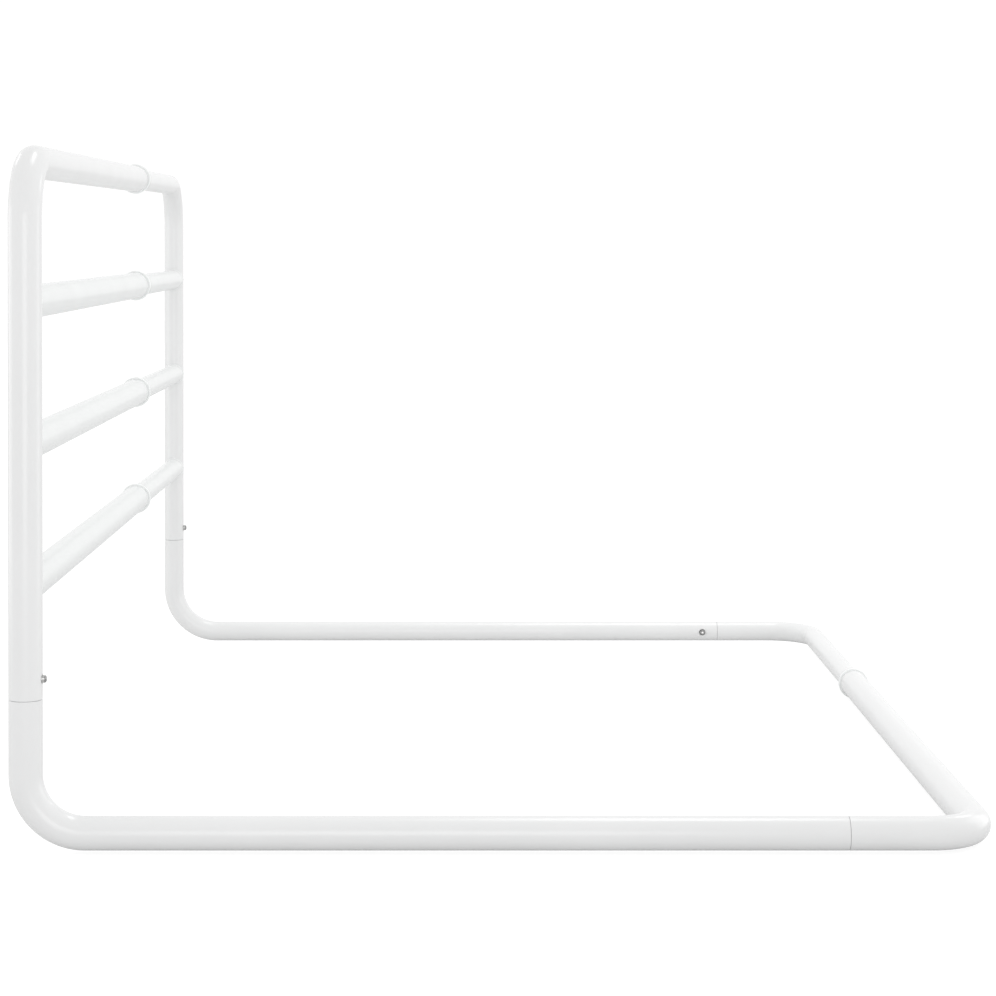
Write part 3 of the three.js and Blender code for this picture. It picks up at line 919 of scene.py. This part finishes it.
# %% Snap buttons and V springs
for name, half in HALVES.items():
    inward = np.array([0, half["inward"], 0.0])
    spigot_bore = half["radius"] - 2 * WALL - RUNNING_GAP
    flange_bottom = np.sqrt(spigot_bore ** 2 - FLANGE ** 2) - RUNNING_GAP - FLANGE_THICKNESS
    pressed = flange_bottom - RUNNING_GAP - STRIP_THICKNESS / 2
    leaning = np.sqrt(spigot_bore ** 2 - (STRIP_WIDTH / 2) ** 2) - RUNNING_GAP - STRIP_THICKNESS / 2
    joints = {
        "post": ((GUARD_X, half["y"], AXIS_Z + half["seam"] + half["post_button"]), Z, X),
        "base": ((REAR_X - half["seam"] - half["base_button"], half["y"], AXIS_Z), -X, inward),
    }
    for place, (origin, along, side) in joints.items():
        seat = f"{name}_{place}"
        button = carried(Run(origin, side, along), button_outline(half["radius"], flange_bottom))
        make_piece(f"domed_button_{seat}", button, button_nickel, f"{seat}_button", f"{seat}_button")
        flat = spring_path(pressed, leaning)
        path = np.array(origin) + flat[:, :1] * side + flat[:, 1:] * along
        off_line = (TAIL + REACH) * side - (leaning + TIP_HALF) * along
        off_line /= np.linalg.norm(off_line)
        tip = np.array(origin) + TIP_HALF * side + REACH * along
        under_button = np.array(origin) + (pressed - STRIP_THICKNESS / 2) * side + STRAIGHT * along
        follows = (f"{seat}_button", tip, tip + off_line * (off_line @ (under_button - tip)))
        make_piece(f"v_spring_{seat}", [strip(path, np.cross(along, side))], spring_strip,
                   f"{seat}_spring", f"{name}_half", follows)
print("buttons and springs:", 2 * len(HALVES), "of each")

# %% [markdown]
# ## Sky
#
# White on white is a matter of light, not of paint. The backdrop is brighter than the tubes, so they show
# as pale grey against it. A round tube that is lit evenly looks flat, so the sky is a little brighter to
# the left, to the right and behind than in front: the rims of the tubes mirror that and grow lighter. The
# camera sees none of this, because a Light Path node gives its rays a plain white instead.

# %% Sky
SKY, SKY_BEHIND, SKY_SIDES = 0.832, 0.17, 0.17
BACKDROP = 1.05
PAPER = rgba(1.0, 1.0, 1.0)

world = Finish(bpy.data.worlds.new("studio_sky"))
bpy.context.scene.world = world.owner
way = world.coordinates("Generated")
across, ahead = (world.add("ShaderNodeSeparateXYZ", {}, way, output=axis) for axis in ("X", "Y"))
behind = world.add("ShaderNodeMath", {"operation": "MAXIMUM"}, ahead, 0.0)
glow = SKY + SKY_BEHIND * behind * behind + SKY_SIDES * across * across
sky = world.add("ShaderNodeBackground", {}, PAPER, glow)
backdrop = world.add("ShaderNodeBackground", {}, PAPER, BACKDROP)
to_camera = world.add("ShaderNodeLightPath", {}, output="Is Camera Ray")
world.add("ShaderNodeOutputWorld", {}, world.add("ShaderNodeMixShader", {}, to_camera, sky, backdrop))
print("sky from", SKY, "to", round(SKY + SKY_SIDES, 2))

# %% [markdown]
# ## Floor
#
# The floor plays the same two parts. To the tubes it is matt paper that glows a little, and more where it
# sweeps up, a metre and more away. To the camera it is nearly all glow, with just enough matt paper in it to
# take a shadow.

# %% Floor
FLOOR_SIDE = 9.0
MATT, GLOW_NEAR, GLOW_FAR = rgba(0.60, 0.60, 0.60), 0.145, 0.25
SWEEP_START, SWEEP_END = 1.0, 3.0
FAINT_MATT, CAMERA_GLOW = rgba(0.25, 0.25, 0.25), 0.85


def glowing(finish, colour, strength):
    """Matt paper with a light of its own."""
    matt = finish.add("ShaderNodeBsdfDiffuse", {}, colour)
    return finish.add("ShaderNodeAddShader", {}, matt, finish.add("ShaderNodeEmission", {}, PAPER, strength))


paper = Finish(bpy.data.materials.new("studio_floor"))
under, sweep = (glowing(paper, MATT, strength) for strength in (GLOW_NEAR, GLOW_FAR))
place = paper.coordinates("Object")
distance = paper.add("ShaderNodeVectorMath", {"operation": "LENGTH"}, place, output="Value")
away = paper.add("ShaderNodeMapRange", {"interpolation_type": "SMOOTHSTEP"}, distance, SWEEP_START, SWEEP_END)
seen_by_tubes = paper.add("ShaderNodeMixShader", {}, away, under, sweep)
seen_by_camera = glowing(paper, FAINT_MATT, CAMERA_GLOW)
to_camera = paper.add("ShaderNodeLightPath", {}, output="Is Camera Ray")
shown = paper.add("ShaderNodeMixShader", {}, to_camera, seen_by_tubes, seen_by_camera)
paper.add("ShaderNodeOutputMaterial", {}, shown)

floor_mesh = bpy.data.meshes.new("studio_floor")
corner = FLOOR_SIDE * np.array([(-1, -1, 0), (1, -1, 0), (1, 1, 0), (-1, 1, 0)])
floor_mesh.from_pydata(corner.tolist(), [], [(0, 1, 2, 3)])
floor_mesh.materials.append(paper.owner)
floor = bpy.data.objects.new("studio_floor", floor_mesh)
bpy.context.scene.collection.objects.link(floor)
print("floor", 2 * FLOOR_SIDE, "m across")

# %% [markdown]
# ## Lamps
#
# The gloss tells where the lamps stood. A light stripe runs up the middle of the post and stops where the
# bend begins, and another runs along the base: both mirror a low soft box in front of the guard. The posts'
# rims are light all the way down, so there are low broad strips close by on the left and on the right. The
# small bright spots belong to boxes behind the guard: one high on the left and a long one overhead show in
# the top bend, and a small one shows on the elbow. The ray from the camera, mirrored where such a spot is
# seen, leads to the place of its box. The Standard view transform shows the paper's white as plain white.

# %% Soft boxes
TOP_BEND, ELBOW = Vector((-0.37, -0.51, 0.54)), Vector((0.355, -0.514, 0.03))
CLOSE, FAR_OFF = 1.5, 4.0
SOFT_BOXES = {
    # name: place, target, width and height in metres, watts
    "box_in_front": ((-0.14, -2.05, 0.385), (-0.14, 0, 0.385), (0.8, 0.73), 3.5),
    "strip_left": ((-1.60, -0.05, 0.36), (-0.37, -0.05, 0.36), (1.00, 0.72), 2.2),
    "strip_right": ((1.0, -0.10, 0.36), (-0.37, -0.51, 0.36), (0.60, 0.72), 1.4),
    "box_behind_elbow": (ELBOW + CLOSE * Vector((0.36, 0.69, 0.62)), ELBOW, (0.25, 0.17), 0.65),
    "box_overhead": ((0.42, 1.12, 3.54), (0.42, 1.12, 0.0), (0.75, 2.0), 17.0),
    "box_behind_left": (TOP_BEND + FAR_OFF * Vector((-0.53, 0.71, 0.44)), TOP_BEND, (1.0, 0.5), 3.5),
}


def soft_box(name, place, target, size, power):
    """An area lamp turned so that its own -Z looks at the target. The camera doesn't see it."""
    lamp = bpy.data.lights.new(name, "AREA")
    lamp.shape = "RECTANGLE"
    lamp.size, lamp.size_y = size
    lamp.energy = power
    box = bpy.data.objects.new(name, lamp)
    bpy.context.scene.collection.objects.link(box)
    place, target = Vector(place), Vector(target)
    box.location = place
    box.rotation_euler = (place - target).to_track_quat("Z", "Y").to_euler()
    box.visible_camera = False
    return box


lamps = [soft_box(name, *how) for name, how in SOFT_BOXES.items()]
bpy.context.scene.view_settings.view_transform = "Standard"
print("lamps:", [lamp.name for lamp in lamps])
